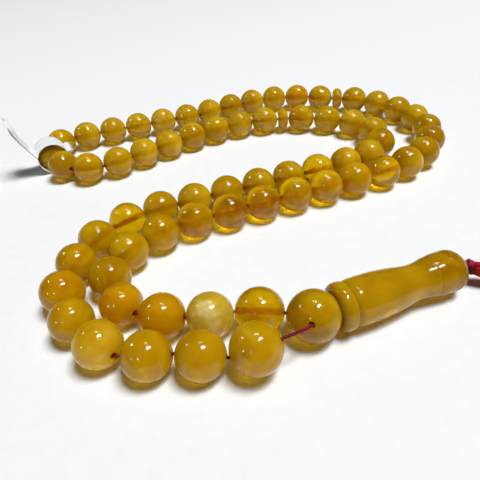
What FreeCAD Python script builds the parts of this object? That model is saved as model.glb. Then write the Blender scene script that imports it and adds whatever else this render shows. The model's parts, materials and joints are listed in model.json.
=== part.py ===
import FreeCAD, Part
import math
import os

# Misbaha: 66 prayer beads and two dividers on one loop of thread, closed by an imame
# (a head, a collar and a long turned minaret), with a knot, a tassel and a paper label.
# Millimetres. +Z is up and the object lies on z = 0, folded in an S of two lanes.

Vector = FreeCAD.Vector
X_AXIS, Z_AXIS = Vector(1, 0, 0), Vector(0, 0, 1)

# Driving dimensions
BEAD_RADIUS = 6.0
ODD_RADII = {1: 6.25, 4: 5.75, 62: 5.75, 66: 6.25}   # of the beads that differ
BEAD_COUNT = 66
BEADS_PER_THIRD = 22
BEAD_GAP = 0.08           # between two neighbours on the string
LOOSE_GAPS = {3: 0.6, 62: 0.4, 63: 0.7, 64: 0.3, 65: 0.3}    # more after these beads
DIVIDER_GAP = 0.4         # more, because a divider lies askew to its neighbours
BORE_RADIUS = 0.65
MOUTH_RADIUS = 1.1        # of a bore's countersunk mouth
MOUTH_DEPTH = 0.8
DIVIDER_RADIUS = 4.9
DIVIDER_THICKNESS = 4.5
THREAD_RADIUS = 0.35
STRAND_OFFSET = 0.39      # of each strand from the imame's axis, where two lie side by side
HEAD_RADIUS = 6.7
IMAME_BORE_RADIUS = 1.1

# The single file of beads: its bends are loose, and these stretches are straight, so
# each stretch turns on one axis.
STRAIGHT_RUNS = [(8, 14), (29, 32), (38, 40), (51, 57)]
LABEL_BEAD = 35           # the bead that the paper label is looped round
LABEL_LIFT = 0.4          # it lies on the label's paper
LABEL_GAP = 1.0           # more room on each side of it, for the paper
SLIDING_BEAD = 66         # it can slide towards the head on the bare thread
SLIDING_AZIMUTH, SLIDING_RISE = 3.0, 22.0  # degrees, of its bore towards the head
SLIDING_LIFT = 1.35       # the thread holds it this far off the table
BARE_RUN = 2.8            # the thread runs straight this far past the bead

# The imame lies to the right of the beads' ends and points away from them
HEAD_CENTRE = Vector(-1.1, -73.7, HEAD_RADIUS)
IMAME_AZIMUTH, IMAME_DROP = 19.0, 0.8       # degrees
HOLE_AZIMUTH, HOLE_RISE = 252.0, 27.0       # degrees, of the head's hole for the last bead's end
THREAD_STAND_OFF = 0.75   # of the thread's turn outside that hole, from the head's surface
THREAD_TURN_DEPTH = 1.3   # of its turn inside that hole
THREAD_TURN_RADIUS = 0.9  # of its turns inside the head, from the head's centre
COLLAR_DISH_RADIUS = 6.9
COLLAR_START, COLLAR_WIDEST, COLLAR_END = 5.47, 7.4, 9.0
MINARET_START, MINARET_END = 9.15, 43.6
KNOT_START, KNOT_END, KNOT_RADIUS = 43.8, 46.5, 2.1

# Where the beads lie: the route of their centres from the head and back to it, in plan
ROUTE = [
    (-13.9, -70.4), (-26, -70.3), (-38, -69.5), (-48.7, -64.6), (-54.3, -54), (-51.4, -42.2),
    (-43.5, -34), (-32.5, -28), (1.5, -16.5), (36, -5), (46.5, 0.5), (56, 8), (63, 18.5),
    (66.5, 30), (66, 42), (62, 53.5), (55.5, 63.5), (46, 71.5), (30.5, 77.5), (18.5, 81.5),
    (6.5, 82), (-5, 79.5), (-16.5, 75), (-38.5, 64.5), (-61.5, 57), (-84.5, 50.5),
    (-95.2, 44), (-96.3, 31.8), (-88.4, 20.3), (-76.5, 16), (-65, 20), (-45, 34), (-24.5, 46.5),
    (-13, 51), (-1, 53), (15.5, 52), (27, 48.5), (37, 42), (43.5, 32), (43, 20), (35.5, 10),
    (26, 4.6), (-9, -7.4), (-45, -19.6), (-54.3, -25.4), (-62.3, -35), (-65.7, -46.5),
    (-66.3, -58.5), (-60.8, -69), (-51.9, -77.5), (-40.5, -81.5), (-28.5, -82.5), (-16.5, -82.9),
    (-4.5, -82.9),
]

# The tassel, from the knot
TASSEL_LENGTH = 65.0
TASSEL_GAP = 2.4          # from the knot that it swings on
TASSEL_AZIMUTH = -18.0    # degrees
TASSEL_SECTIONS = [       # part of the length, half width, half height, height of the centre
    (0.0, 2.1, 2.1, 5.9), (0.1, 2.5, 2.4, 4.8), (0.22, 3.2, 2.6, 3.5), (0.5, 4.8, 2.6, 3.1),
    (0.8, 6.2, 2.5, 3.0), (1.0, 7.0, 2.4, 2.9),
]
BINDING_PLACE, BINDING_WIDTH, BINDING_THICKNESS = 0.16, 2.4, 0.35
BINDING_HEIGHT, BINDING_SLOPE = 3.95, 1 / 6     # of the tassel's middle there

# The paper label: a loop round one bead, and the stuck ends that stand up from it
LABEL_WIDTH = 10.0
LABEL_PAPER = 0.22
LABEL_LOOP_RADIUS = 6.1
FLAG_ARC = [(-5.9, 1.6), (-10.4, 9.4), (-13.0, 17.6)]   # across and above the bead's centre
FOLD_ARC = [(6.1, 1.0), (7.4, 1.5), (8.8, 1.5)]
FLAG_THICKNESS = 0.4


def direction(azimuth, rise=0.0):
    """The unit vector at an azimuth from +X and a rise above the horizontal, in degrees."""
    a, r = math.radians(azimuth), math.radians(rise)
    return Vector(math.cos(a) * math.cos(r), math.sin(a) * math.cos(r), math.sin(r))


def unit(vector):
    return Vector(vector).normalize()


def revolved(edges):
    """The solid that a closed profile in X (along the axis) and Y (radius) sweeps round X."""
    return Part.Face(Part.Wire(Part.__sortEdges__(edges))).revolve(Vector(), X_AXIS, 360)


def line(a, b):
    return Part.LineSegment(Vector(*a), Vector(*b)).toShape()


def arc(a, b, c):
    return Part.Arc(Vector(*a), Vector(*b), Vector(*c)).toShape()


def placed(shape, centre, axis):
    """A shape made along +X at the origin, moved to a centre and turned to an axis."""
    moved = shape.copy()
    moved.Placement = FreeCAD.Placement(centre, FreeCAD.Rotation(X_AXIS, axis))
    return moved


# Bead places

def next_on_route(curve, start, spacing):
    """The first parameter after start whose point is spacing away from start's point."""
    origin = curve.value(start)
    low, high = start, start + 0.5 * spacing
    while curve.value(high).distanceToPoint(origin) < spacing:
        low, high = high, high + 0.5 * spacing
    for _ in range(40):
        middle = 0.5 * (low + high)
        if curve.value(middle).distanceToPoint(origin) < spacing:
            low = middle
        else:
            high = middle
    return high


def string_order():
    """Names of the beads and dividers in the order that they are strung."""
    order = []
    for number in range(1, BEAD_COUNT + 1):
        order.append(number)
        if number % BEADS_PER_THIRD == 0 and number < BEAD_COUNT:
            order.append("divider_%d" % (number // BEADS_PER_THIRD))
    return order


def radius_of(item):
    return ODD_RADII.get(item, BEAD_RADIUS)


def half_length(item):
    """Half of a bead's or divider's length along its bore."""
    return DIVIDER_THICKNESS / 2 if isinstance(item, str) else radius_of(item)


def string_centres(order):
    """Centre of each bead and divider, each close to the one before along the route."""
    points = [Vector(x, y, BEAD_RADIUS) for x, y in ROUTE]
    curve = Part.BSplineCurve()
    chords = [0.0]
    for a, b in zip(points, points[1:]):
        chords.append(chords[-1] + a.distanceToPoint(b))
    curve.interpolate(Points=points, Parameters=chords)
    parameter, centres = 0.0, {order[0]: curve.value(0.0)}
    for before, item in zip(order, order[1:]):
        beside_divider = isinstance(before, str) or isinstance(item, str)
        gap = DIVIDER_GAP if beside_divider else BEAD_GAP + LOOSE_GAPS.get(before, 0)
        step = half_length(before) + half_length(item) + gap
        if LABEL_BEAD in (before, item):
            step += LABEL_GAP
        parameter = next_on_route(curve, parameter, step)
        centres[item] = curve.value(parameter)
    for first, last in STRAIGHT_RUNS:
        along = unit(centres[last] - centres[first])
        for number in range(first, last + 1):
            centres[number] = centres[first] + along * (2 * BEAD_RADIUS + BEAD_GAP) * (number - first)
    lifts = {number: radius - BEAD_RADIUS for number, radius in ODD_RADII.items()}
    lifts[LABEL_BEAD] = LABEL_LIFT
    lifts[SLIDING_BEAD] += SLIDING_LIFT
    for number, lift in lifts.items():
        centres[number] = centres[number] + Z_AXIS * lift
    return centres


def reach_of(item):
    """How far from its centre a bead's or divider's bore guides the thread."""
    return half_length(item) - MOUTH_DEPTH


def mouths(item, centres, axes):
    """Where the thread enters and leaves a bead's or divider's bore."""
    reach = axes[item] * reach_of(item)
    return [centres[item] - reach, centres[item] + reach]


def bending(points):
    """How hard a thread through these points bends, where one sharp turn is the worst."""
    ways = [b - a for a, b in zip(points, points[1:])]
    return sum(a.getAngle(b) ** 4 for a, b in zip(ways, ways[1:]))


def string_axes(order, centres):
    """Bore axes along which the taut thread bends least, found by turning each in small steps."""
    axes = {order[0]: unit(centres[order[0]] - HEAD_CENTRE)}
    axes[SLIDING_BEAD] = direction(SLIDING_AZIMUTH, SLIDING_RISE)
    for before, item, after in zip(order, order[1:], order[2:]):
        axes[item] = unit(centres[after] - centres[before])
    held = {SLIDING_BEAD}
    for first, last in STRAIGHT_RUNS:
        for number in range(first, last + 1):
            axes[number] = unit(centres[last] - centres[first])
            held.add(number)
    in_head = [HEAD_CENTRE, HEAD_CENTRE + axes[order[0]] * (HEAD_RADIUS - MOUTH_DEPTH)]
    for step in [math.radians(s) for s in (4, 4, 2, 2, 1, 1, 0.5, 0.5, 0.25) for _ in range(4)]:
        before = in_head
        for item, after in zip(order, order[1:]):
            after_mouths = mouths(after, centres, axes)
            if item not in held:
                across = Z_AXIS.cross(axes[item])
                turned = [axes[item], axes[item] + across * step, axes[item] - across * step]
                if item != LABEL_BEAD:
                    turned += [axes[item] + Z_AXIS * step, axes[item] - Z_AXIS * step]
                choices = {}
                for way in turned:
                    choice = mouths(item, centres, {item: unit(way)})
                    choices[bending(before + choice + after_mouths)] = unit(way)
                axes[item] = choices[min(choices)]
            before = mouths(item, centres, axes)
    return axes


# Beads and dividers, made along +X at the origin

def bead(radius):
    flank = math.sqrt(radius**2 - MOUTH_RADIUS**2)
    bore_end = flank - MOUTH_DEPTH
    return revolved([
        line((-bore_end, BORE_RADIUS), (bore_end, BORE_RADIUS)),
        line((bore_end, BORE_RADIUS), (flank, MOUTH_RADIUS)),
        arc((flank, MOUTH_RADIUS), (0, radius), (-flank, MOUTH_RADIUS)),
        line((-flank, MOUTH_RADIUS), (-bore_end, BORE_RADIUS)),
    ])


def divider():
    half = DIVIDER_THICKNESS / 2
    rim = DIVIDER_RADIUS - half
    return revolved([
        line((-half, MOUTH_RADIUS), (-half, rim)),
        arc((-half, rim), (0, DIVIDER_RADIUS), (half, rim)),
        line((half, rim), (half, MOUTH_RADIUS)),
        line((half, MOUTH_RADIUS), (half - MOUTH_DEPTH, BORE_RADIUS)),
        line((half - MOUTH_DEPTH, BORE_RADIUS), (MOUTH_DEPTH - half, BORE_RADIUS)),
        line((MOUTH_DEPTH - half, BORE_RADIUS), (-half, MOUTH_RADIUS)),
    ])


# Imame

def hole_directions(centres):
    """Ways out of the head for the first strand, the last strand and the doubled cord."""
    first = unit(centres[1] - HEAD_CENTRE)
    return first, direction(HOLE_AZIMUTH, HOLE_RISE), direction(IMAME_AZIMUTH, -IMAME_DROP)


def drill(way, radius):
    """A drill from just behind the head's centre, out along a way, with its countersink."""
    reach = HEAD_RADIUS + 1
    hole = Part.makeCylinder(radius, reach + radius, HEAD_CENTRE - way * radius, way)
    mouth_start = HEAD_CENTRE + way * (HEAD_RADIUS - MOUTH_DEPTH)
    widening = MOUTH_RADIUS - BORE_RADIUS
    mouth = Part.makeCone(radius, radius + 2 * widening, 2 * MOUTH_DEPTH, mouth_start, way)
    return hole.fuse(mouth)


def imame_head(ways):
    head = Part.makeSphere(HEAD_RADIUS, HEAD_CENTRE)
    for way, radius in zip(ways, (BORE_RADIUS, BORE_RADIUS, IMAME_BORE_RADIUS)):
        head = head.cut(drill(way, radius))
    return head


def imame_collar():
    """A rounded ring, dished on one side to sit on the head."""
    dish_foot = math.sqrt(COLLAR_DISH_RADIUS**2 - IMAME_BORE_RADIUS**2)
    dish_edge = math.sqrt(COLLAR_DISH_RADIUS**2 - COLLAR_START**2)
    dish_middle = direction(math.degrees(math.atan2(0.5 * dish_edge, dish_foot))) * COLLAR_DISH_RADIUS
    return revolved([
        arc((dish_foot, IMAME_BORE_RADIUS), dish_middle, (COLLAR_START, dish_edge)),
        arc((COLLAR_START, dish_edge), (6.05, 5.75), (COLLAR_WIDEST, 6.3)),
        line((COLLAR_WIDEST, 6.3), (8.4, 6.3)),
        arc((8.4, 6.3), (8.82, 6.12), (COLLAR_END, 5.7)),
        line((COLLAR_END, 5.7), (COLLAR_END, IMAME_BORE_RADIUS)),
        line((COLLAR_END, IMAME_BORE_RADIUS), (dish_foot, IMAME_BORE_RADIUS)),
    ])


def imame_minaret():
    """A turned shaft: a broad shoulder, a waist, a small step and a round end."""
    waist = Part.BSplineCurve()
    waist.interpolate([Vector(*p) for p in (
        (11.6, 6.2), (16, 6.2), (20, 5.95), (25, 5.3), (28.5, 4.85), (31, 4.95), (33.6, 5.45))])
    shaft = revolved([
        line((MINARET_START, IMAME_BORE_RADIUS), (MINARET_START, 5.3)),
        arc((MINARET_START, 5.3), (10.0, 5.9), (11.6, 6.2)),
        waist.toShape(),
        line((33.6, 5.45), (34.0, 5.2)),
        arc((34.0, 5.2), (35.6, 5.62), (37.6, 5.75)),
        line((37.6, 5.75), (39.6, 5.75)),
        arc((39.6, 5.75), (42.5, 4.7), (MINARET_END, 1.9)),
        line((MINARET_END, 1.9), (MINARET_END, IMAME_BORE_RADIUS)),
        line((MINARET_END, IMAME_BORE_RADIUS), (MINARET_START, IMAME_BORE_RADIUS)),
    ])
    for along, radius in ((38.6, 5.78), (39.5, 5.78)):
        shaft = shaft.cut(Part.makeTorus(radius, 0.14, Vector(along, 0, 0), X_AXIS))
    return shaft


def knot():
    """The doubled thread's stopper knot, as a short rounded barrel."""
    middle = (KNOT_START + KNOT_END) / 2
    edge = 0.75 * KNOT_RADIUS
    return revolved([
        line((KNOT_START, 0), (KNOT_START, edge)),
        arc((KNOT_START, edge), (middle, KNOT_RADIUS), (KNOT_END, edge)),
        line((KNOT_END, edge), (KNOT_END, 0)),
        line((KNOT_END, 0), (KNOT_START, 0)),
    ])


# Thread

def thread_corners(order, centres, axes, ways):
    """Corners of the thread's route, from the knot, round all the beads and back to it."""
    first_way, last_way, out = ways
    side = unit(Z_AXIS.cross(out)) * STRAND_OFFSET
    head_mouth = HEAD_RADIUS - MOUTH_DEPTH
    knot_face = HEAD_CENTRE + out * KNOT_START
    turn_in = HEAD_CENTRE + out * THREAD_TURN_RADIUS
    corners = [knot_face + side, turn_in + side]
    corners += [HEAD_CENTRE + first_way * along for along in (THREAD_TURN_RADIUS, head_mouth)]
    for item in order:
        corners += mouths(item, centres, axes)
    past_bead = radius_of(SLIDING_BEAD) + BARE_RUN
    corners[-1] = centres[SLIDING_BEAD] + axes[SLIDING_BEAD] * past_bead
    turns = (HEAD_RADIUS + THREAD_STAND_OFF, HEAD_RADIUS - THREAD_TURN_DEPTH, THREAD_TURN_RADIUS)
    corners += [HEAD_CENTRE + last_way * along for along in turns]
    corners += [turn_in - side, knot_face - side]
    return corners


def rounded_path(corners):
    """Straight runs joined by tangent arcs, each as large as its two runs allow."""
    edges, radii = [], []
    start = corners[0]
    for before, corner, after in zip(corners, corners[1:], corners[2:]):
        way_in, way_out = unit(corner - before), unit(after - corner)
        half_turn = way_in.getAngle(way_out) / 2
        if half_turn < math.radians(0.1):
            continue
        shorter = min(corner.distanceToPoint(before), corner.distanceToPoint(after))
        cut = 0.45 * shorter
        radius = cut / math.tan(half_turn)
        arc_start, arc_end = corner - way_in * cut, corner + way_out * cut
        inward = unit(way_out - way_in)
        middle = corner + inward * (radius / math.cos(half_turn) - radius)
        edges.append(Part.LineSegment(start, arc_start).toShape())
        edges.append(Part.Arc(arc_start, middle, arc_end).toShape())
        radii.append(radius)
        start = arc_end
    edges.append(Part.LineSegment(start, corners[-1]).toShape())
    return Part.Wire(edges), radii


def thread(corners):
    path, radii = rounded_path(corners)
    way = unit(corners[1] - corners[0])
    section = Part.Wire(Part.makeCircle(THREAD_RADIUS, corners[0], way))
    swept = path.makePipeShell([section], True, False)
    expected = math.pi * THREAD_RADIUS**2 * path.Length
    print("thread length %.1f mm, tightest arc %.2f mm, volume / expected %.4f"
          % (path.Length, min(radii), swept.Volume / expected))
    return swept


# Tassel

def tassel_section(part, half_width, half_height, height, root, along):
    """One cross-section of the lying tassel, an ellipse across its length."""
    centre = Vector(root.x, root.y, 0) + along * TASSEL_LENGTH * part + Z_AXIS * height
    across = Z_AXIS.cross(along)
    points = [
        centre + across * half_width * math.cos(a) + Z_AXIS * half_height * math.sin(a)
        for a in (math.radians(30 * k) for k in range(12))
    ]
    curve = Part.BSplineCurve()
    curve.interpolate(points, PeriodicFlag=True)
    return Part.Wire(curve.toShape())


def tassel_skirt(root, along):
    sections = [tassel_section(*row, root, along) for row in TASSEL_SECTIONS]
    return Part.makeLoft(sections, True, False)


def tassel_binding(skirt, root, along):
    """A band of wound thread round the strands, close under the knot."""
    centre = Vector(root.x, root.y, BINDING_HEIGHT) + along * TASSEL_LENGTH * BINDING_PLACE
    tilt = unit(along - Z_AXIS * BINDING_SLOPE)
    slice_radius = BINDING_HEIGHT + 0.5
    band = Part.makeCylinder(slice_radius, BINDING_WIDTH, centre - tilt * BINDING_WIDTH / 2, tilt)
    around = skirt.makeOffsetShape(BINDING_THICKNESS, 0.01)
    return band.common(around).cut(skirt.makeOffsetShape(0.02, 0.01))


# Label

def strip(points, thickness):
    """A flat strip that follows an arc through three points, in the YZ plane."""
    a, b, c = (Vector(0, y, z) for y, z in points)
    circle = Part.Circle(a, b, c)
    hub = circle.Center

    def moved(point, offset):
        return hub + (point - hub) * ((circle.Radius + offset) / circle.Radius)

    half = thickness / 2
    inner, outer = ([moved(p, o) for p in (a, b, c)] for o in (-half, half))
    return Part.Face(Part.Wire([
        Part.Arc(*inner).toShape(), Part.LineSegment(inner[2], outer[2]).toShape(),
        Part.Arc(*outer[::-1]).toShape(), Part.LineSegment(outer[0], inner[0]).toShape(),
    ]))


def paper_label():
    """The loop of paper, its inner fold and its standing flag, extruded along +X."""
    shift = Vector(-LABEL_WIDTH / 2, 0, 0)
    outside = Part.makeCylinder(LABEL_LOOP_RADIUS + LABEL_PAPER, LABEL_WIDTH, shift, X_AXIS)
    inside = Part.makeCylinder(LABEL_LOOP_RADIUS, LABEL_WIDTH, shift, X_AXIS)
    label = outside.cut(inside)
    for points in (FLAG_ARC, FOLD_ARC):
        sheet = strip(points, FLAG_THICKNESS)
        sheet.translate(shift)
        label = label.fuse(sheet.extrude(X_AXIS * LABEL_WIDTH))
    return label.cut(inside).removeSplitter()


# Assembly

def node_name(first, last):
    return "bead_%02d" % first if first == last else "beads_%02d_to_%02d" % (first, last)


def build():
    """Every sub-part's shape by its node's name."""
    order = string_order()
    centres = string_centres(order)
    axes = string_axes(order, centres)
    ways = hole_directions(centres)
    out = ways[2]
    shapes = {}
    run_of = {number: run for run in STRAIGHT_RUNS for number in range(run[0], run[1] + 1)}
    one_bead, one_divider = bead(BEAD_RADIUS), divider()
    for item in order:
        if isinstance(item, str):
            shapes[item] = placed(one_divider, centres[item], axes[item])
            continue
        first, last = run_of.get(item, (item, item))
        if item == first:
            shape = bead(ODD_RADII[item]) if item in ODD_RADII else one_bead
            solids = [placed(shape, centres[n], axes[n]) for n in range(first, last + 1)]
            shapes[node_name(first, last)] = solids[0] if first == last else Part.Compound(solids)
    shapes["imame_head"] = imame_head(ways)
    shapes["imame_collar"] = placed(imame_collar(), HEAD_CENTRE, out)
    shapes["imame_minaret"] = placed(imame_minaret(), HEAD_CENTRE, out)
    shapes["thread"] = thread(thread_corners(order, centres, axes, ways))
    shapes["knot"] = placed(knot(), HEAD_CENTRE, out)
    along = direction(TASSEL_AZIMUTH)
    root = HEAD_CENTRE + out * KNOT_END + along * TASSEL_GAP
    shapes["tassel_skirt"] = tassel_skirt(root, along)
    shapes["tassel_binding"] = tassel_binding(shapes["tassel_skirt"], root, along)
    shapes["paper_label"] = placed(paper_label(), centres[LABEL_BEAD], axes[LABEL_BEAD])
    return shapes


def main():
    os.makedirs("parts", exist_ok=True)
    for name, shape in build().items():
        shape.exportStep("parts/%s.step" % name)


main()
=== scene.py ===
import json
import math
import random

import bpy
import bmesh
from mathutils import Matrix, Vector, noise


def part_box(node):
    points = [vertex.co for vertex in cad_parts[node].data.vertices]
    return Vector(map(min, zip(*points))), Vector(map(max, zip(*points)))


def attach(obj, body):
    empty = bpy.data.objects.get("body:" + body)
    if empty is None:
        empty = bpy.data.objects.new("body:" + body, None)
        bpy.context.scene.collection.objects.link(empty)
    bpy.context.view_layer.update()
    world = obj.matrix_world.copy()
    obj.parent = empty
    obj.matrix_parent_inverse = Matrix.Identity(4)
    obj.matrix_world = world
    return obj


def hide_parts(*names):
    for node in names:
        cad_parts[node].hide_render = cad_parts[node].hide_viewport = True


# Misbaha: 66 amber beads and two dividers on one loop of thread, closed by an imame, with a
# knot, a silk tassel and a paper label. The frame is in metres, and so is every mesh here.

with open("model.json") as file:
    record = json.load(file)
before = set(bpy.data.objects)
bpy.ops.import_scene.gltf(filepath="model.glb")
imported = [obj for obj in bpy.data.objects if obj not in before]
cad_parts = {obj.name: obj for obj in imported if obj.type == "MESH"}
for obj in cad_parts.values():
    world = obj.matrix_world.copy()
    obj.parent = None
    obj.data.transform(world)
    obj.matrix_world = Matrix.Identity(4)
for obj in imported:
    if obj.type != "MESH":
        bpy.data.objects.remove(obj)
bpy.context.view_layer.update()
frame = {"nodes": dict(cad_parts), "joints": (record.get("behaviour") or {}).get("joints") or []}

MM = 0.001
JOINT_OF = {joint["child"]: joint for joint in frame["joints"]}
Z_AXIS = Vector((0, 0, 1))

# Beads
BEAD_RADIUS = 6 * MM
BEAD_COUNT = 66
BEAD_SEGMENTS, BEAD_STEPS = 64, 44    # round the bore and from one mouth to the other
BEAD_WOBBLE = 0.004               # of the radius, as hand-turned beads aren't quite round
BEAD_STEP = 12.08 * MM            # from one bead's centre to the next in a straight run
BORE_RADIUS = 0.65 * MM
BORE_SHADE = 0.8                  # how far the bore's wall goes from the resin's colour to its own
WIDE_BORE_RADIUS = 0.78 * MM      # where the thread bends most inside a bead
WIDE_BORED = (34, 35, 36, 37, 66)
MOUTH_RADIUS = 1.1 * MM
MOUTH_DEPTH = 0.8 * MM
DIVIDER_HALF = 2.25 * MM
STRAIGHT_RUNS = [(8, 14), (29, 32), (38, 40), (51, 57)]
BEADS_PER_THIRD = 22
SLIDING_BEAD = 66
LABEL_BEAD = 35
BARE_RUN = 2.8 * MM               # of straight thread past the sliding bead

# Imame
HEAD_RADIUS = 6.7 * MM
COLLAR_PLACE = 7.4 * MM           # of the collar's widest part, from the head's centre
KNOT_START, KNOT_END = 43.8 * MM, 46.5 * MM
HOLE_AZIMUTH, HOLE_RISE = 252.0, 27.0
THREAD_STAND_OFF = 0.75 * MM
THREAD_TURN_DEPTH = 1.3 * MM
THREAD_TURN_RADIUS = 0.9 * MM
STRAND_OFFSET = 0.39 * MM

# Thread
THREAD_RADIUS = 0.46 * MM
PLY_RADIUS = 0.215 * MM
PLY_PITCH = 2.4 * MM
PLIES, PLY_SIDES = 3, 6
POINTS_PER_SPAN = 12

# Knot and tassel
KNOT_LOOP, KNOT_HALF_LENGTH = 0.42 * MM, 0.75 * MM    # a trefoil's ring and its rise and fall
KNOT_STEPS, KNOT_PLIES = 120, 4
KNOT_CORD_RADIUS, KNOT_PLY_RADIUS = 0.6 * MM, 0.3 * MM
TASSEL_LENGTH = 65 * MM
TASSEL_GAP = 2.4 * MM
TASSEL_AZIMUTH = -18.0
TASSEL_SECTIONS = [       # part of the length, half width, half height, height of the centre, mm
    (-0.037, 1.0, 1.1, 5.6), (0.0, 2.1, 2.0, 4.9), (0.1, 2.3, 2.3, 4.2), (0.16, 2.3, 2.1, 3.7),
    (0.22, 3.0, 2.4, 3.3), (0.5, 4.8, 2.6, 3.1), (0.8, 6.2, 2.5, 3.0), (1.0, 7.0, 2.4, 2.9),
]
TASSEL_STRANDS, STRAND_STEPS = 240, 18
STRANDS_START = -0.02             # inside the neck cord, clear of the knot that they swing on
STRAND_RADIUS = 0.22 * MM
BINDING_PLACE, BINDING_TURNS, BINDING_PITCH = 0.16, 6, 0.4 * MM
BINDING_SPREAD, TURN_STEPS = 1.08, 24     # of the section that it winds round, and points a turn
NECK_PLACES, NECK_TURNS, NECK_STEPS = (-0.029, -0.016), 1.6, 60
NECK_RADIUS, NECK_CORD = 1.45 * MM, 0.65 * MM

# Paper label, across and above the centre of its bead, mm
LABEL_WIDTH = 10 * MM
LABEL_PAPER = 0.18 * MM
LABEL_LOOP_RADIUS = 6.2
LABEL_COLUMNS = 12
LOOP_UNDER, LOOP_OVER = (172, 366, 24), (15, 156, 18)     # first and last degree, and steps
CRUMPLE_GRAIN, CRUMPLE = 0.22, 0.06       # of the paper's soft dents, which grow along the flag
FLAG = [(-6.05, 1.75), (-8.3, 5.2), (-10.4, 9.4), (-11.9, 13.5), (-13.0, 17.6)]
FOLD = [(7.4, 1.4), (8.8, 1.5), (7.4, 1.8)]

BEAD_KINDS = {                    # the beads that aren't plain
    "clear": (1, 8, 9, 10, 11, 12, 14, 52, 58),
    "orange": (3, 4, 13, 24, 61),
    "pale": (30, 44, 47, 48, 63),
    "swirled": (2,),
}


def direction(azimuth, rise=0.0):
    """The unit vector at an azimuth from +X and a rise above the horizontal, in degrees."""
    a, r = math.radians(azimuth), math.radians(rise)
    return Vector((math.cos(a) * math.cos(r), math.sin(a) * math.cos(r), math.sin(r)))


def middle(node):
    low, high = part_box(node)
    return (Vector(low) + Vector(high)) / 2


# Camera

CAMERA_PLACE = Vector((-17.5, -145.9, 85.2)) * MM
CAMERA_PITCH, CAMERA_ROLL = 36.84, -4.15     # degrees, below the horizon and about the view
CAMERA_LENS = 32.69


def camera():
    data = bpy.data.cameras.new("camera")
    data.lens, data.sensor_width = CAMERA_LENS, 36
    data.clip_start, data.clip_end = 0.01, 20
    taker = bpy.data.objects.new("camera", data)
    bpy.context.collection.objects.link(taker)
    tilt = Matrix.Rotation(math.radians(90 - CAMERA_PITCH), 4, "X")
    roll = Matrix.Rotation(math.radians(CAMERA_ROLL), 4, "Z")
    taker.matrix_world = Matrix.Translation(CAMERA_PLACE) @ tilt @ roll
    bpy.context.scene.camera = taker


# Materials

class Nodes:
    """A material's node tree, with short calls for the nodes that the materials share."""

    def __init__(self, name):
        self.material = bpy.data.materials.new(name)
        self.material.use_nodes = True
        self.tree = self.material.node_tree
        self.shader = self.tree.nodes["Principled BSDF"]
        self.place = self.tree.nodes.new("ShaderNodeTexCoord").outputs["Object"]

    def set(self, **values):
        for name, value in values.items():
            label = name.replace("_", " ").title().replace("Ior", "IOR")
            self.shader.inputs[label].default_value = value

    def add(self, kind, inputs=(), **settings):
        node = self.tree.nodes.new(kind)
        for name, value in settings.items():
            setattr(node, name, value)
        for name, value in dict(inputs).items():
            if isinstance(value, bpy.types.NodeSocket):
                self.tree.links.new(value, node.inputs[name])
            else:
                node.inputs[name].default_value = value
        return node

    def noise(self, scale, detail=2.0, distortion=0.0, place=None):
        inputs = {"Vector": place or self.place, "Scale": scale, "Detail": detail}
        return self.add("ShaderNodeTexNoise", {**inputs, "Distortion": distortion}).outputs["Fac"]

    def ramp(self, value, stops):
        node = self.add("ShaderNodeValToRGB", {"Fac": value})
        elements = node.color_ramp.elements
        while len(elements) < len(stops):
            elements.new(0.5)
        for element, (position, colour) in zip(elements, stops):
            element.position = position
            element.color = colour if isinstance(colour, tuple) else (colour, colour, colour, 1)
        return node.outputs["Color"]

    def mix(self, share, first, second):
        node = self.add("ShaderNodeMix", {0: share, 6: first, 7: second}, data_type="RGBA")
        return node.outputs[2]

    def drive(self, name, socket):
        self.tree.links.new(socket, self.shader.inputs[name])

    def bump(self, height, distance, strength=1.0):
        inputs = {"Height": height, "Distance": distance, "Strength": strength}
        self.drive("Normal", self.add("ShaderNodeBump", inputs).outputs["Normal"])


def rgb(red, green, blue):
    return (red, green, blue, 1)


SHINE_THROUGH = rgb(0.18, 0.13, 0.005)     # what one surface of the resin lets through from a lamp
BORE_COLOUR = rgb(0.30, 0.075, 0.001)      # the drilled wall, with the red thread behind it

# Grain of the textures, in noise cells per metre
SMUDGE_GRAIN, THREAD_GRAIN = 420.0, 5200.0
SILK_GRAIN, SILK_FIBRE_GRAIN = 900.0, 4200.0
PAPER_GRAIN, CREASE_SHADE_GRAIN = 2600.0, 260.0
NAP_GRAIN, FLOOR_GRAIN = 260.0, 900.0


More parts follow.
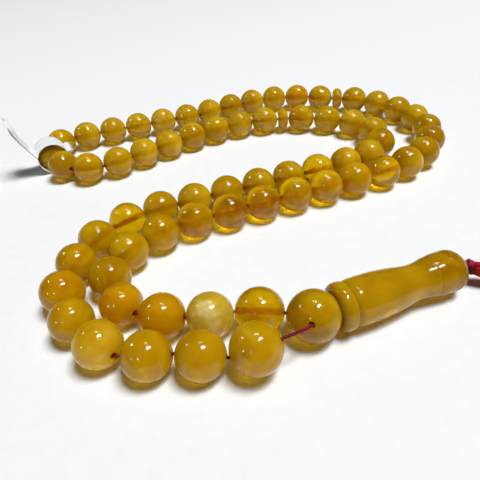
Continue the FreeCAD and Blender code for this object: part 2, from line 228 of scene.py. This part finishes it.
def amber(name, deep, main, pale, clouds=(0.36, 0.52, 0.72), clear=0.5, cloud_size=16 * MM):
    """Cloudy resin: swirls of paler, denser stuff in clearer, deeper stuff, under a polish.

    The clouds are where the three colours fall in the noise, and clear is how much light the deep
    stuff lets straight through. A lamp's light passes it tinted, so its shadow is amber too.
    """
    nodes = Nodes(name)
    nodes.set(roughness=0.05, ior=1.42, specular_ior_level=0.35)
    nodes.set(subsurface_weight=1.0, subsurface_scale=4.5 * MM, subsurface_radius=(1.0, 0.5, 0.06))
    swirl = nodes.noise(1 / cloud_size, detail=3.0, distortion=0.9)
    low, mid, high = clouds
    bore = nodes.add("ShaderNodeAttribute", attribute_name="bore").outputs["Fac"]
    colour = nodes.ramp(swirl, [(low, deep), (mid, main), (high, pale)])
    nodes.drive("Base Color", nodes.mix(bore, colour, BORE_COLOUR))
    clearness = nodes.ramp(swirl, [(low, clear), (high, 0.6 * clear)])
    nodes.drive("Transmission Weight", nodes.mix(bore, clearness, rgb(0, 0, 0)))
    smudge = nodes.noise(SMUDGE_GRAIN, detail=4.0, distortion=0.4)
    nodes.drive("Roughness", nodes.ramp(smudge, [(0.4, 0.03), (0.75, 0.09)]))
    shine_through = nodes.add("ShaderNodeBsdfTransparent", {"Color": SHINE_THROUGH}).outputs["BSDF"]
    to_lamp = nodes.add("ShaderNodeLightPath").outputs["Is Shadow Ray"]
    sockets = {0: to_lamp, 1: nodes.shader.outputs["BSDF"], 2: shine_through}
    mixed = nodes.add("ShaderNodeMixShader", sockets).outputs["Shader"]
    nodes.tree.links.new(mixed, nodes.tree.nodes["Material Output"].inputs["Surface"])
    return nodes.material


def thread_material():
    """Dark red thread: a painted highlight on the plies' crests, and painted shade, near black, in the
    grooves.
    """
    nodes = Nodes("thread")
    nodes.set(roughness=0.4, specular_ior_level=0.2)
    fibres = nodes.noise(THREAD_GRAIN, detail=3.0)
    painted_light = nodes.add("ShaderNodeAttribute", attribute_name="painted_light").outputs["Fac"]
    # painted shade, near black, up to the middle; then the thread's own dark red; then a painted
    # highlight on the crests
    shades = [(0.5, rgb(0.02, 0.0002, 0.001)), (0.82, rgb(0.16, 0.001, 0.012)),
              (1.0, rgb(0.45, 0.014, 0.045))]
    nodes.drive("Base Color", nodes.ramp(painted_light, shades))
    nodes.bump(fibres, 0.04 * MM)
    return nodes.material


def silk_material():
    nodes = Nodes("tassel_silk")
    nodes.set(roughness=0.45, sheen_weight=0.12, sheen_roughness=0.3, specular_ior_level=0.3)
    fibres = nodes.noise(SILK_GRAIN, detail=3.0)
    shades = [(0.3, rgb(0.34, 0.004, 0.006)), (0.7, rgb(0.62, 0.009, 0.012))]
    nodes.drive("Base Color", nodes.ramp(fibres, shades))
    nodes.bump(nodes.noise(SILK_FIBRE_GRAIN), 0.03 * MM)
    return nodes.material


def paper_material():
    nodes = Nodes("paper")
    nodes.set(roughness=0.55, subsurface_weight=0.3, subsurface_scale=0.5 * MM)
    fibres = nodes.noise(PAPER_GRAIN, detail=5.0)
    # painted shade: grey patches that stand for the shade in the paper's creases, on white paper
    crease_shade = nodes.noise(CREASE_SHADE_GRAIN, detail=2.0, distortion=0.8)
    shades = [(0.3, rgb(0.78, 0.79, 0.8)), (0.7, rgb(0.93, 0.93, 0.92))]
    nodes.drive("Base Color", nodes.ramp(crease_shade, shades))
    nodes.bump(fibres, 0.02 * MM)
    return nodes.material


def floor_material():
    nodes = Nodes("floor")
    nodes.set(roughness=0.9)
    nap = nodes.noise(NAP_GRAIN, detail=6.0)
    shades = [(0.3, rgb(0.86, 0.88, 0.89)), (0.7, rgb(0.885, 0.905, 0.915))]
    nodes.drive("Base Color", nodes.ramp(nap, shades))
    nodes.bump(nodes.noise(FLOOR_GRAIN, detail=5.0), 0.3 * MM, 0.25)
    return nodes.material


DEEP, MAIN, PALE = rgb(0.57, 0.33, 0.001), rgb(0.645, 0.395, 0.0015), rgb(0.72, 0.48, 0.012)
AMBERS = {
    "plain": amber("amber_plain", DEEP, MAIN, PALE),
    "clear": amber("amber_clear", rgb(0.66, 0.4, 0.0005), rgb(0.78, 0.5, 0.001), PALE, clear=0.85),
    "orange": amber("amber_orange", rgb(0.64, 0.32, 0.0005), rgb(0.70, 0.39, 0.0008), MAIN),
    "pale": amber("amber_pale", MAIN, rgb(0.74, 0.48, 0.01), rgb(0.82, 0.6, 0.08)),
    "swirled": amber("amber_swirled", rgb(0.70, 0.5, 0.02), rgb(0.76, 0.57, 0.08),
                     rgb(0.92, 0.82, 0.45), clouds=(0.44, 0.55, 0.66), cloud_size=12 * MM),
}
IMAME_AMBER = amber("amber_imame", rgb(0.46, 0.245, 0.0006), rgb(0.56, 0.325, 0.001),
                    rgb(0.64, 0.4, 0.004), clear=0.55, cloud_size=20 * MM)
THREAD, SILK, PAPER = thread_material(), silk_material(), paper_material()


# Meshes

def piece(name, mesh, material, body, slot, *nodes):
    """An object of the assembly, which rides on a body and stands for some CAD nodes."""
    made = bpy.data.objects.new(name, mesh)
    bpy.context.collection.objects.link(made)
    mesh.materials.clear()
    mesh.materials.append(material)
    mesh.shade_smooth()
    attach(made, body)
    if nodes:
        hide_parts(*nodes)
    return made


def turned(name, profile, centre, axis, seed):
    """The mesh that a closed profile of (along, radius) points sweeps round an axis.

    Its "bore" attribute marks the narrowest part of the profile.
    """
    chance = random.Random(seed)
    mesh = bmesh.new()
    frame_of = axis.to_track_quat("X", "Z").to_matrix()
    phases = [chance.uniform(0, math.tau) for _ in range(3)]
    rings = []
    for k in range(BEAD_SEGMENTS):
        angle = math.tau * k / BEAD_SEGMENTS
        ring = []
        for along, radius in profile:
            swell = 1 + BEAD_WOBBLE * math.sin(2 * angle + phases[0]) * (radius / BEAD_RADIUS)
            swell += BEAD_WOBBLE * math.sin(3 * along / BEAD_RADIUS + phases[1])
            out = radius * swell
            spoke = Vector((along, out * math.cos(angle), out * math.sin(angle)))
            ring.append(mesh.verts.new(centre + frame_of @ spoke))
        rings.append(ring)
    for ring, after in zip(rings, rings[1:] + rings[:1]):
        for k in range(len(profile)):
            following = (k + 1) % len(profile)
            mesh.faces.new((ring[k], ring[following], after[following], after[k]))
    bmesh.ops.recalc_face_normals(mesh, faces=mesh.faces)
    made = bpy.data.meshes.new(name)
    mesh.to_mesh(made)
    mesh.free()
    drilled = made.attributes.new("bore", "FLOAT", "POINT")
    narrowest = min(radius for _, radius in profile)
    in_bore = [BORE_SHADE if radius <= narrowest * 1.01 else 0.0 for _, radius in profile]
    drilled.data.foreach_set("value", in_bore * BEAD_SEGMENTS)
    return made


def bead_profile(bead_radius, bore_radius):
    """Half of a bead's section: the bore, its softened mouths and the round outside."""
    flank = math.sqrt(bead_radius**2 - MOUTH_RADIUS**2)
    bore_end = flank - MOUTH_DEPTH
    points = [(bore_end * k / 4, bore_radius) for k in range(-4, 5)]
    mouth = [(flank - 0.35 * MOUTH_DEPTH, 0.72 * MOUTH_RADIUS), (flank - 0.1 * MM, 0.94 * MOUTH_RADIUS)]
    points += mouth
    start = math.asin(MOUTH_RADIUS * 1.08 / bead_radius)
    for k in range(BEAD_STEPS + 1):
        angle = start + (math.pi - 2 * start) * k / BEAD_STEPS
        points.append((bead_radius * math.cos(angle), bead_radius * math.sin(angle)))
    points += [(-along, radius) for along, radius in reversed(mouth)]
    return points


# Beads

def bead_places():
    """Centre, bore axis, body and CAD node of each bead, from the joints that they turn on."""
    run_of = {n: run for run in STRAIGHT_RUNS for n in range(run[0], run[1] + 1)}
    places = {}
    for number in range(1, BEAD_COUNT + 1):
        first, last = run_of.get(number, (number, number))
        node = "bead_%02d" % first if first == last else "beads_%02d_to_%02d" % (first, last)
        joint = JOINT_OF[node]
        axis = Vector(joint["axis"]).normalized()
        start = Vector(joint["pos_m"]) if "pos_m" in joint else middle(node)
        places[number] = (start + axis * BEAD_STEP * (number - first), axis, node)
    return places


def amber_of(number):
    for kind, numbers in BEAD_KINDS.items():
        if number in numbers:
            return AMBERS[kind]
    return AMBERS["plain"]


def radius_of(node):
    """Half of the height of a node of beads that lie level."""
    low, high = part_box(node)
    return (high[2] - low[2]) / 2


def beads(places):
    for number, (centre, axis, node) in places.items():
        name = "amber_bead_%02d" % number
        bore = WIDE_BORE_RADIUS if number in WIDE_BORED else BORE_RADIUS
        mesh = turned(name, bead_profile(radius_of(node), bore), centre, axis, seed=number)
        piece(name, mesh, amber_of(number), node, "amber", node)


def cad_amber():
    """The dividers and the imame keep their meshes and take the resin's materials."""
    for node in ("divider_1", "divider_2"):
        frame["nodes"][node].material_slots[0].material = AMBERS["plain"]
    for node in ("imame_head", "imame_collar", "imame_minaret"):
        frame["nodes"][node].material_slots[0].material = IMAME_AMBER


# Thread

def thread_route(places, head, out):
    """The thread's route, from the knot through the head, every bead and back to the knot."""
    side = Z_AXIS.cross(out).normalized() * STRAND_OFFSET
    first_way = (places[1][0] - head).normalized()
    last_way = direction(HOLE_AZIMUTH, HOLE_RISE)
    mouth = HEAD_RADIUS - MOUTH_DEPTH
    turn = head + out * THREAD_TURN_RADIUS
    route = [head + out * KNOT_START + side, turn + side]
    route += [head + first_way * THREAD_TURN_RADIUS, head + first_way * mouth]
    for number in range(1, BEAD_COUNT + 1):
        centre, axis, node = places[number]
        reach = radius_of(node) - MOUTH_DEPTH
        route += [centre - axis * reach, centre + axis * reach]
        if number % BEADS_PER_THIRD == 0 and number < BEAD_COUNT:
            joint = JOINT_OF["divider_%d" % (number // BEADS_PER_THIRD)]
            centre, axis = Vector(joint["pos_m"]), Vector(joint["axis"])
            reach = DIVIDER_HALF - MOUTH_DEPTH
            route += [centre - axis * reach, centre + axis * reach]
    centre, axis, node = places[SLIDING_BEAD]
    route[-1] = centre + axis * (radius_of(node) + BARE_RUN)
    turns = (HEAD_RADIUS + THREAD_STAND_OFF, HEAD_RADIUS - THREAD_TURN_DEPTH, THREAD_TURN_RADIUS)
    route += [head + last_way * along for along in turns]
    route += [turn - side, head + out * KNOT_START - side]
    return route


def smooth_line(route):
    """Points along the NURBS curve that a route's points control."""
    curve = bpy.data.curves.new("line", "CURVE")
    curve.dimensions = "3D"
    curve.resolution_u = POINTS_PER_SPAN
    spline = curve.splines.new("NURBS")
    spline.points.add(len(route) - 1)
    for point, place in zip(spline.points, route):
        point.co = (*place, 1)
    spline.order_u = 3
    spline.use_endpoint_u = True
    holder = bpy.data.objects.new("line", curve)
    bpy.context.collection.objects.link(holder)
    mesh = bpy.data.meshes.new_from_object(holder)
    points = [v.co.copy() for v in mesh.vertices]
    bpy.data.objects.remove(holder)
    bpy.data.curves.remove(curve)
    bpy.data.meshes.remove(mesh)
    return points


def even(points, spacing):
    """The same line with its points evenly spaced."""
    lengths = [0.0]
    for a, b in zip(points, points[1:]):
        lengths.append(lengths[-1] + (b - a).length)
    count = max(2, round(lengths[-1] / spacing))
    spaced, k = [], 0
    for n in range(count + 1):
        place = lengths[-1] * n / count
        while k < len(points) - 2 and lengths[k + 1] < place:
            k += 1
        share = (place - lengths[k]) / max(lengths[k + 1] - lengths[k], 1e-12)
        spaced.append(points[k].lerp(points[k + 1], share))
    return spaced


def frames_along(points):
    """A direction and two cross directions at each point, without needless twist."""
    ways = [(b - a).normalized() for a, b in zip(points, points[1:])]
    ways.append(ways[-1])
    side = ways[0].orthogonal().normalized()
    result = []
    for way in ways:
        side = (side - way * side.dot(way)).normalized()
        result.append((way, side, way.cross(side)))
    return result


def tube(mesh, points, radius_at, sides, outward=None):
    """A closed tube along points, whose radius is a function of the share of its length.

    Its painted light attribute is 1 where it faces outward (up, if no outward is given) and 0 opposite.
    """
    painted_light = mesh.verts.layers.float.get("painted_light") or mesh.verts.layers.float.new("painted_light")
    rings = []
    last = len(points) - 1
    for k, (point, (_, side, up)) in enumerate(zip(points, frames_along(points))):
        radius = radius_at(k / last)
        angles = [math.tau * j / sides for j in range(sides)]
        spokes = [(side * math.cos(a) + up * math.sin(a)) * radius for a in angles]
        rings.append([mesh.verts.new(point + spoke) for spoke in spokes])
        # painted light: what the thread's material makes bright or dark follows which way each face
        # turns
        for vertex, spoke in zip(rings[-1], spokes):
            vertex[painted_light] = 0.5 + 0.5 * spoke.normalized().dot(outward[k] if outward else Z_AXIS)
    for ring, after in zip(rings, rings[1:]):
        for j in range(sides):
            mesh.faces.new((ring[j], ring[(j + 1) % sides], after[(j + 1) % sides], after[j]))
    mesh.faces.new(rings[0][::-1])
    mesh.faces.new(rings[-1])


def twisted(mesh, points, radius, ply_radius, pitch, plies):
    """Plies twisted round a line, each a tube."""
    spacing = (points[1] - points[0]).length
    cross = frames_along(points)
    for ply in range(plies):
        line, outward = [], []
        for k, (point, (_, side, up)) in enumerate(zip(points, cross)):
            angle = math.tau * (k * spacing / pitch + ply / plies)
            outward.append(side * math.cos(angle) + up * math.sin(angle))
            line.append(point + outward[-1] * (radius - ply_radius))
        tube(mesh, line, lambda share: ply_radius, PLY_SIDES, outward)


def finished(mesh, name):
    bmesh.ops.recalc_face_normals(mesh, faces=mesh.faces)
    made = bpy.data.meshes.new(name)
    mesh.to_mesh(made)
    mesh.free()
    return made


def thread(places, head, out):
    line = even(smooth_line(thread_route(places, head, out)), PLY_PITCH / 10)
    mesh = bmesh.new()
    twisted(mesh, line, THREAD_RADIUS, PLY_RADIUS, PLY_PITCH, PLIES)
    piece("twisted_thread", finished(mesh, "twisted_thread"), THREAD, "string", "thread", "thread")


# Knot and tassel

def knot(head, out):
    """The doubled thread's stopper knot: a tight trefoil that ends where it starts."""
    centre = head + out * (KNOT_START + KNOT_END) / 2
    turn = out.to_track_quat("Z", "Y").to_matrix()
    line = []
    for k in range(KNOT_STEPS + 1):
        t = math.tau * k / KNOT_STEPS
        ring, rise = (2 + math.cos(3 * t)) * KNOT_LOOP, KNOT_HALF_LENGTH * math.sin(3 * t)
        place = Vector((ring * math.cos(2 * t), ring * math.sin(2 * t), rise))
        line.append(centre + turn @ place)
    mesh = bmesh.new()
    twisted(mesh, line, KNOT_CORD_RADIUS, KNOT_PLY_RADIUS, PLY_PITCH, KNOT_PLIES)
    piece("stopper_knot", finished(mesh, "stopper_knot"), THREAD, "string", "thread", "knot")


def tassel_section(part):
    """Half width, half height and height of the centre, between the listed sections."""
    for (start, *low), (end, *high) in zip(TASSEL_SECTIONS, TASSEL_SECTIONS[1:]):
        if part <= end:
            share = max(0.0, (part - start) / (end - start))
            share = share * share * (3 - 2 * share)
            return [(a + (b - a) * share) * MM for a, b in zip(low, high)]
    return [value * MM for value in high]


def tassel_point(root, along, part, spread, angle):
    """A point of the tassel, at a share of its section's size and an angle round it."""
    half_width, half_height, height = tassel_section(part)
    across = Z_AXIS.cross(along)
    centre = Vector((root.x, root.y, height)) + along * TASSEL_LENGTH * part
    offset = across * half_width * math.cos(angle) + Z_AXIS * half_height * math.sin(angle)
    return centre + offset * spread


def neck_coil(root, along):
    """The maroon cord's turns round the tassel's neck, next to the stopper knot."""
    across = Z_AXIS.cross(along)
    start, end = NECK_PLACES
    line = []
    for k in range(NECK_STEPS + 1):
        share = k / NECK_STEPS
        part = start + (end - start) * share
        angle = math.tau * NECK_TURNS * share
        centre = Vector((root.x, root.y, tassel_section(part)[2])) + along * TASSEL_LENGTH * part
        line.append(centre + (across * math.cos(angle) + Z_AXIS * math.sin(angle)) * NECK_RADIUS)
    return line


def tassel(head, out):
    along = direction(TASSEL_AZIMUTH)
    root = head + out * KNOT_END + along * TASSEL_GAP
    chance = random.Random(7)
    mesh = bmesh.new()
    for _ in range(TASSEL_STRANDS):
        spread, angle = math.sqrt(chance.uniform(0.02, 0.92)), chance.uniform(0, math.tau)
        drift, sway = chance.uniform(-0.5, 0.5), chance.uniform(0.1, 0.5) * MM
        phase = chance.uniform(0, math.tau)
        first, last = STRANDS_START, chance.uniform(0.94, 1.0)
        line = []
        for k in range(STRAND_STEPS + 1):
            part = first + (last - first) * k / STRAND_STEPS
            loose = max(0.0, part - BINDING_PLACE)
            point = tassel_point(root, along, part, spread, angle + drift * loose)
            wave = math.sin(9 * part + phase) * sway * min(1.0, 3 * loose)
            point += Z_AXIS.cross(along) * wave + Z_AXIS * 0.4 * wave
            point.z = max(point.z, STRAND_RADIUS * 1.3)
            line.append(point)
        tube(mesh, line, lambda share: STRAND_RADIUS * (1 - 0.35 * share), 5)
    piece("silk_tassel", finished(mesh, "silk_tassel"), SILK, "tassel", "tassel_silk", "tassel_skirt")
    line = []
    for k in range(BINDING_TURNS * TURN_STEPS + 1):
        angle = math.tau * k / TURN_STEPS
        part = BINDING_PLACE + (k / TURN_STEPS - BINDING_TURNS / 2) * BINDING_PITCH / TASSEL_LENGTH
        line.append(tassel_point(root, along, part, BINDING_SPREAD, angle))
    mesh = bmesh.new()
    # The thread's material gives the binding and the neck coil a painted highlight on top and painted
    # shade underneath.
    tube(mesh, line, lambda share: 0.55 * BINDING_PITCH, 6)
    tube(mesh, neck_coil(root, along), lambda share: NECK_CORD, 10)
    winding = finished(mesh, "tassel_winding")
    piece("tassel_winding", winding, THREAD, "tassel", "thread", "tassel_binding")


# Label

def label_line():
    """The strip's path round the bead: down one side of the flag, under, over and up it again."""
    outer = [Vector((x - 0.12, z + 0.02 + 0.012 * k * k)) for k, (x, z) in enumerate(FLAG)]
    inner = [Vector((x + 0.12 + 0.05 * k * k, z)) for k, (x, z) in enumerate(FLAG)]

    def loop(start, end, steps):
        angles = [math.radians(start + (end - start) * k / steps) for k in range(steps + 1)]
        return [Vector((math.cos(a), math.sin(a))) * LABEL_LOOP_RADIUS for a in angles]

    fold = [Vector(point) for point in FOLD]
    return outer[::-1] + loop(*LOOP_UNDER) + fold + loop(*LOOP_OVER) + inner


def label(bead_place):
    centre, axis, _ = bead_place
    across = Z_AXIS.cross(axis).normalized()
    mesh = bmesh.new()
    rows = []
    for k, point in enumerate(label_line()):
        row = []
        for j in range(LABEL_COLUMNS + 1):
            along = (j / LABEL_COLUMNS - 0.5) * LABEL_WIDTH
            free = max(0.0, point.length - LABEL_LOOP_RADIUS - 0.3) * CRUMPLE
            place = Vector((along / MM * 0.25, point.x * CRUMPLE_GRAIN, point.y * CRUMPLE_GRAIN))
            crumple = Vector((0, noise.noise(place), noise.noise(place + Vector((9, 0, 0))))) * free
            x, z = (point.x + crumple.y) * MM, (point.y + crumple.z) * MM
            row.append(mesh.verts.new(centre + axis * along + across * x + Z_AXIS * z))
        rows.append(row)
    for row, after in zip(rows, rows[1:]):
        for j in range(LABEL_COLUMNS):
            mesh.faces.new((row[j], row[j + 1], after[j + 1], after[j]))
    strip = finished(mesh, "label_strip")
    made = piece("label_strip", strip, PAPER, "paper_label", "paper", "paper_label")
    sheet = made.modifiers.new("paper", "SOLIDIFY")
    sheet.thickness, sheet.offset = LABEL_PAPER, 0


# Floor and light

FLOOR_HALF = 6.0
ROOM_LIGHT, BACKDROP_LIGHT = 0.03, 0.85
WINDOW_AZIMUTH, WINDOW_RISE, WINDOW_SPREAD, WINDOW_STRENGTH = 345, 72, 24, 2.0
WHITE = (1, 1, 1)
KEY = ("key", 344.7, 73.7, 2.0, (0.70, 0.30), 18.0, WHITE, -35)
GLINTS = [    # only mirrored in the polish: azimuth, rise, distance, size, power, colour and turn
    ("glint", 344.7, 73.7, 1.9, (0.50, 0.20), 18.0, WHITE, -35),
    ("second", 74.2, 75.4, 1.2, (0.32, 0.17), 3.2, (1.0, 0.8, 0.72), 0),
    ("left", 159.4, 36.6, 1.2, (0.09, 0.16), 1.6, (1.0, 0.95, 0.9), 0),
    ("front_left", 210.6, 20.9, 1.2, (0.08, 0.08), 0.7, WHITE, 0),
    ("front", 242.0, 33.5, 1.2, (0.07, 0.07), 0.5, WHITE, 0),
]


def lamp(name, azimuth, rise, distance, size, power, colour, turn):
    """An area lamp that shines on the middle of the floor, turned about its beam in degrees."""
    data = bpy.data.lights.new(name, "AREA")
    data.shape = "RECTANGLE"
    data.size, data.size_y = size
    data.energy, data.color = power, colour
    made = bpy.data.objects.new(name, data)
    bpy.context.collection.objects.link(made)
    place = direction(azimuth, rise) * distance
    aim = (-place).to_track_quat("-Z", "Y").to_matrix().to_4x4()
    made.matrix_world = Matrix.Translation(place) @ aim @ Matrix.Rotation(math.radians(turn), 4, "Z")
    return made


def studio():
    """The floor, a wide soft window, the key lamp and the small lamps that make the glints."""
    mesh = bmesh.new()
    bmesh.ops.create_grid(mesh, x_segments=4, y_segments=4, size=FLOOR_HALF)
    floor = bpy.data.objects.new("floor", finished(mesh, "floor"))
    bpy.context.collection.objects.link(floor)
    floor.data.materials.append(floor_material())
    sun = bpy.data.lights.new("window", "SUN")
    sun.energy, sun.angle = WINDOW_STRENGTH, math.radians(WINDOW_SPREAD)
    holder = bpy.data.objects.new("window", sun)
    bpy.context.collection.objects.link(holder)
    holder.rotation_euler = direction(WINDOW_AZIMUTH, WINDOW_RISE).to_track_quat("Z", "Y").to_euler()
    holder.visible_glossy = False
    lamp(*KEY)
    for values in GLINTS:
        glint = lamp(*values)
        glint.visible_diffuse = glint.visible_transmission = False


def backdrop():
    """A pale world where the camera sees it, and a dim one for light and mirroring."""
    world = bpy.data.worlds.new("world")
    bpy.context.scene.world = world
    world.use_nodes = True
    tree = world.node_tree
    room, screen = tree.nodes["Background"], tree.nodes.new("ShaderNodeBackground")
    for sky, strength in ((room, ROOM_LIGHT), (screen, BACKDROP_LIGHT)):
        sky.inputs["Color"].default_value = rgb(0.95, 0.98, 1.0)
        sky.inputs["Strength"].default_value = strength
    seen, mixed = tree.nodes.new("ShaderNodeLightPath"), tree.nodes.new("ShaderNodeMixShader")
    tree.links.new(seen.outputs["Is Camera Ray"], mixed.inputs["Fac"])
    tree.links.new(room.outputs["Background"], mixed.inputs[1])
    tree.links.new(screen.outputs["Background"], mixed.inputs[2])
    tree.links.new(mixed.outputs["Shader"], tree.nodes["World Output"].inputs["Surface"])
    bpy.context.scene.view_settings.view_transform = "Standard"


camera()
PLACES = bead_places()
OUT = Vector(JOINT_OF["imame_collar"]["axis"]).normalized()
HEAD = Vector(JOINT_OF["imame_collar"]["pos_m"]) - OUT * COLLAR_PLACE
beads(PLACES)
cad_amber()
thread(PLACES, HEAD, OUT)
knot(HEAD, OUT)
tassel(HEAD, OUT)
label(PLACES[LABEL_BEAD])
studio()
backdrop()
